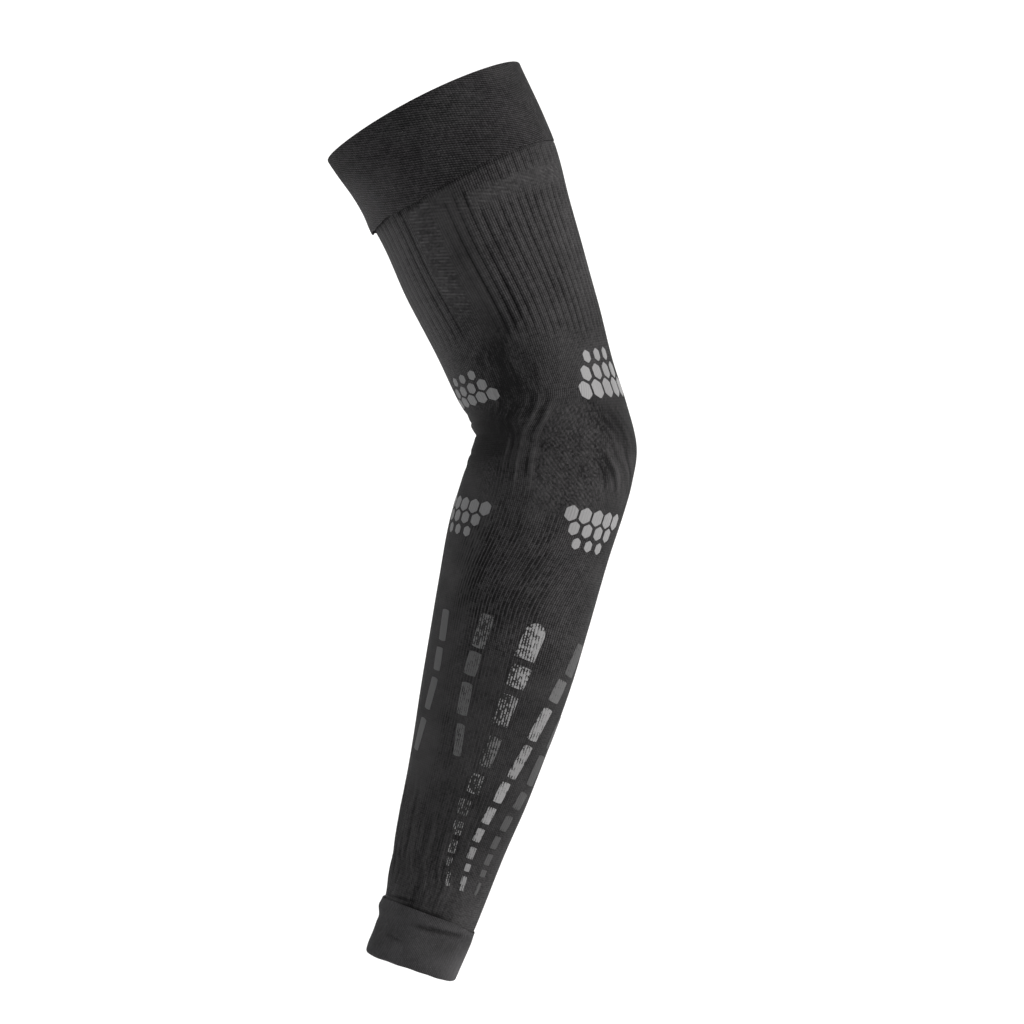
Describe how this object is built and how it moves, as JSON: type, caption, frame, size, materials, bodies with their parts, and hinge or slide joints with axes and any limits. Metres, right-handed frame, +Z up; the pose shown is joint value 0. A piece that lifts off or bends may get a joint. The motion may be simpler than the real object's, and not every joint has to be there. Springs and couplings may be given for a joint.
{
  "type": "arm sleeve",
  "caption": "Knitted compression sleeve in its worn form: an open tube bent at the elbow, ribbed on the upper arm, with a doubled band at the upper arm and at the wrist.",
  "frame": {"origin": "middle of the elbow, inside the tube, where the wearer's elbow sits", "axes": "+Z up towards the upper arm, +X out of the back of the elbow, Y across the arm; the arm bends in the XZ plane"},
  "size_m": [0.1547, 0.0994, 0.458],
  "materials": {
    "body_knit": "matt charcoal black elastic knit, ribbed and fine-waled",
    "band_knit": "matt charcoal black doubled jersey",
    "print_film": "thin satin grey grip print on the knit"
  },
  "bodies": {
    "root": {"upper_band": "band_knit", "sleeve": "body_knit", "wrist_band": "band_knit"}
  },
  "joints": []
}
